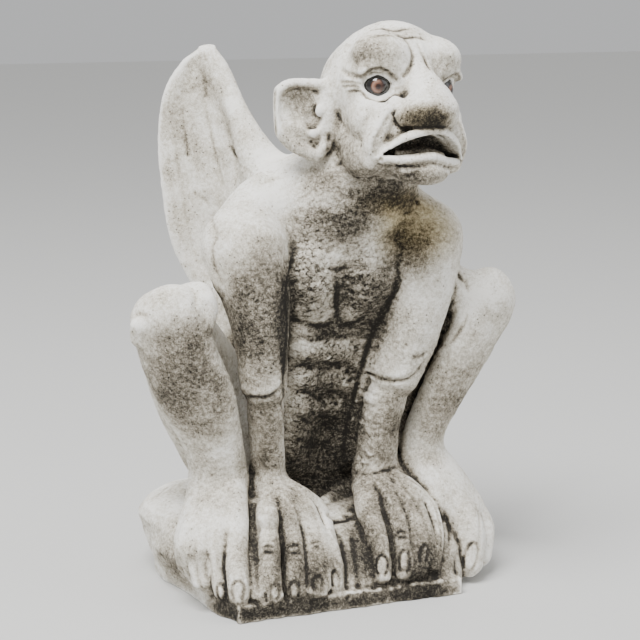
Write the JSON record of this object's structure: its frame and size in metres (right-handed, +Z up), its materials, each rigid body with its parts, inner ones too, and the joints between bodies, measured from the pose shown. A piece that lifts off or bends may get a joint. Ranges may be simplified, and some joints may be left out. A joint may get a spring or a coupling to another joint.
{
  "type": "gargoyle statue",
  "caption": "Crouching winged gargoyle with a bald scowling head, large round ears and inset glass eyes, its hands and feet gripping a low rock, in cast stone.",
  "frame": {"origin": "centre of the flat underside that the rock stands on", "axes": "+Z up, -Y the way the figure faces, -X to the figure's right"},
  "size_m": [0.2853, 0.229, 0.4004],
  "materials": {
    "cast_stone": "matte, pitted, with dark weathering in the hollows",
    "eye_glass": "glossy, brown iris with a dark pupil"
  },
  "bodies": {
    "root": {"gargoyle": "cast_stone", "glass_eye_right": "eye_glass", "glass_eye_left": "eye_glass"}
  },
  "joints": []
}
